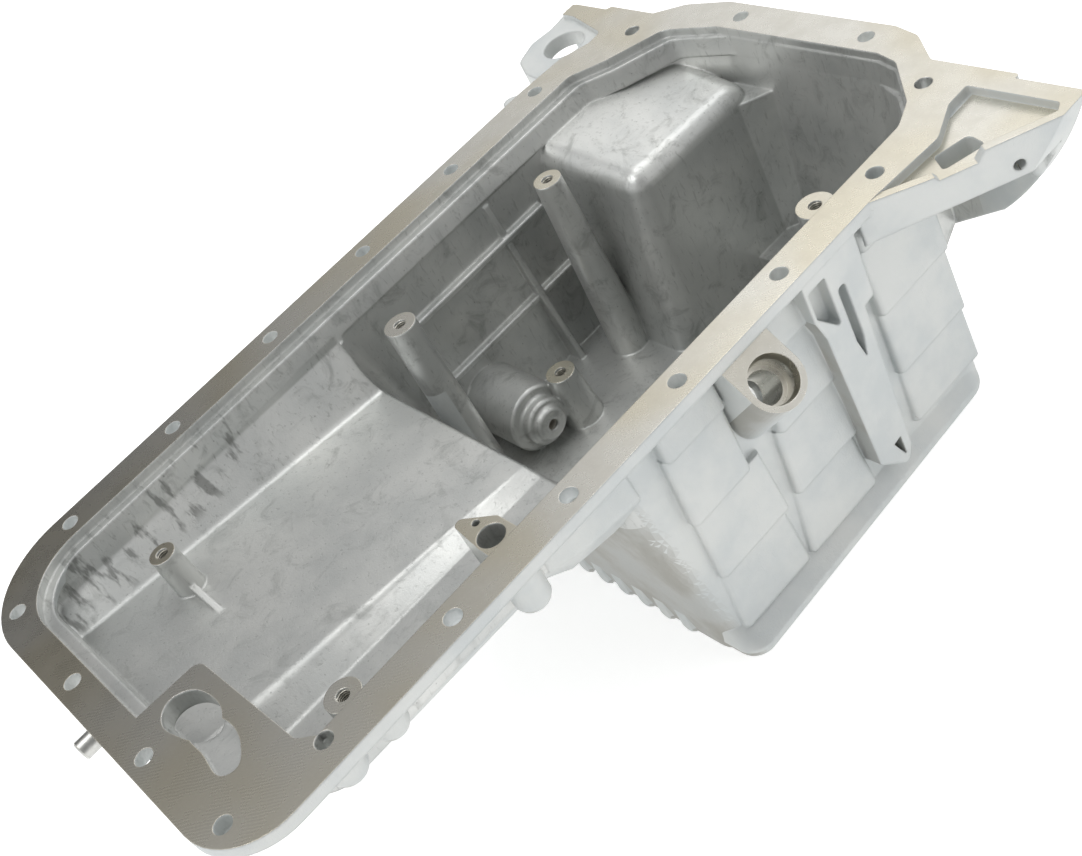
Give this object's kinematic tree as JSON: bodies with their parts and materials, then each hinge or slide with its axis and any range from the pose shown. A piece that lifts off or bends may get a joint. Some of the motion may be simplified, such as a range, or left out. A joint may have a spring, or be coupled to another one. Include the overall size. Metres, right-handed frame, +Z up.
{
  "type": "engine oil pan",
  "caption": "Cast engine oil pan: flat joint flange, shallow front tray, deep sump, rear hump, tapped posts and a gearbox plate.",
  "frame": {"origin": "on the joint face, at the centre of the four flange bolts of joint_bolts", "axes": "+X from the shallow tray to the gearbox end, +Y to the left side, +Z up out of the opening"},
  "size_m": [0.5174, 0.3544, 0.165],
  "materials": {
    "cast_aluminium": "as-cast, machined on the joint face",
    "steel_pin": "ground"
  },
  "bodies": {
    "root": {"oil_pan_casting": "cast_aluminium", "locating_pin": "steel_pin"}
  },
  "joints": []
}
